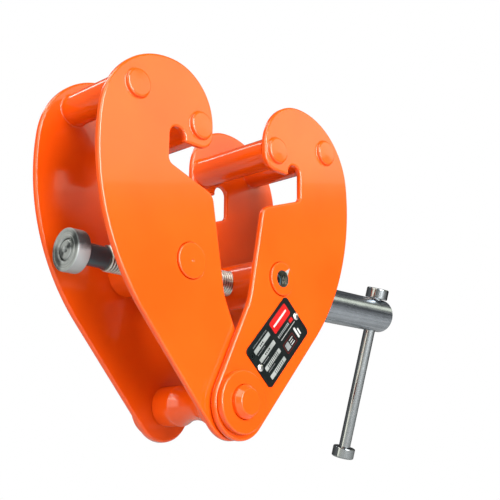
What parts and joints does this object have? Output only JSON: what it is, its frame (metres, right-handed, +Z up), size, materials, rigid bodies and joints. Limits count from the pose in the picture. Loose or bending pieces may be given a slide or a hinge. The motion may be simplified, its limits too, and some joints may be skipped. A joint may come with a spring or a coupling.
{
  "type": "beam clamp",
  "caption": "Screw-adjusted lifting clamp: paired jaw plates hinged on a waisted load bar grip the lower flange of a beam.",
  "frame": {"origin": "midway between the jaws, in the plane of the faces that rest on top of the lower flange of the beam", "axes": "+Z up, towards the beam; +X along the screw, towards the tommy bar; +Y along the load bar and the beam"},
  "size_m": [0.2991, 0.0918, 0.2299],
  "materials": {
    "orange_paint": "gloss orange powder coat over steel plate and bar",
    "turned_steel": "zinc-plated, with fine turned rings",
    "thread_steel": "oiled, machined screw thread",
    "dark_steel": "dark drawn bar, lightly polished",
    "bright_steel": "bright zinc plating",
    "name_plate_print": "black printed aluminium with silver fields and a red block"
  },
  "bodies": {
    "load_bar": {"load_bar": "orange_paint", "near_washer": "orange_paint", "far_washer": "orange_paint"},
    "left_jaw": {"left_jaw_plate_near": "orange_paint", "left_jaw_plate_far": "orange_paint", "left_top_spacer": "orange_paint", "left_nose_spacer": "orange_paint"},
    "right_jaw": {"right_jaw_plate_near": "orange_paint", "right_jaw_plate_far": "orange_paint", "right_top_spacer": "orange_paint", "right_nose_spacer": "orange_paint", "name_plate": "name_plate_print", "name_plate_rivet_1": "turned_steel", "name_plate_rivet_2": "turned_steel"},
    "left_trunnion": {"left_trunnion": "orange_paint"},
    "right_trunnion": {"right_trunnion": "orange_paint", "spindle_lock_screw": "dark_steel"},
    "stop_collar": {"stop_collar": "turned_steel"},
    "spindle": {"spindle": "thread_steel", "handle_boss": "dark_steel"},
    "tommy_bar": {"tommy_bar": "bright_steel", "tommy_cap_top": "bright_steel", "tommy_cap_bottom": "bright_steel"}
  },
  "joints": [
    {"name": "left_jaw_swing", "type": "hinge", "parent": "load_bar", "child": "left_jaw", "pos_m": [0, 0, -0.15], "axis": [0, -1, 0], "range_deg": [-6.6, 28.1]},
    {"name": "right_jaw_swing", "type": "hinge", "parent": "load_bar", "child": "right_jaw", "pos_m": [0, 0, -0.15], "axis": [0, 1, 0], "range_deg": [-6.6, 28.1]},
    {"name": "left_trunnion_turn", "type": "hinge", "parent": "left_jaw", "child": "left_trunnion", "pos_m": [-0.0365, 0, -0.071], "axis": [0, 1, 0], "range_deg": [-6.6, 28.1]},
    {"name": "right_trunnion_turn", "type": "hinge", "parent": "right_jaw", "child": "right_trunnion", "pos_m": [0.0365, 0, -0.071], "axis": [0, -1, 0], "range_deg": [-6.6, 28.1]},
    {"name": "spindle_travel", "type": "slide", "parent": "left_trunnion", "child": "stop_collar", "axis": [1, 0, 0], "range_m": [-0.0079, 0.0337]},
    {"name": "spindle_turn", "type": "hinge", "parent": "stop_collar", "child": "spindle", "pos_m": [0, 0, -0.071], "axis": [1, 0, 0], "range_deg": [-1404, 6048]},
    {"name": "tommy_bar_slide", "type": "slide", "parent": "spindle", "child": "tommy_bar", "axis": [0, -0.284, 0.9588], "range_m": [0, 0.091]}
  ],
  "couplings": [
    {"joint": "left_jaw_swing", "follows": "spindle_turn", "ratio": 0.0046296},
    {"joint": "right_jaw_swing", "follows": "spindle_turn", "ratio": 0.0046296},
    {"joint": "left_trunnion_turn", "follows": "spindle_turn", "ratio": 0.0046296},
    {"joint": "right_trunnion_turn", "follows": "spindle_turn", "ratio": 0.0046296},
    {"joint": "spindle_travel", "follows": "spindle_turn", "m_per_rad": 0.00031831}
  ]
}
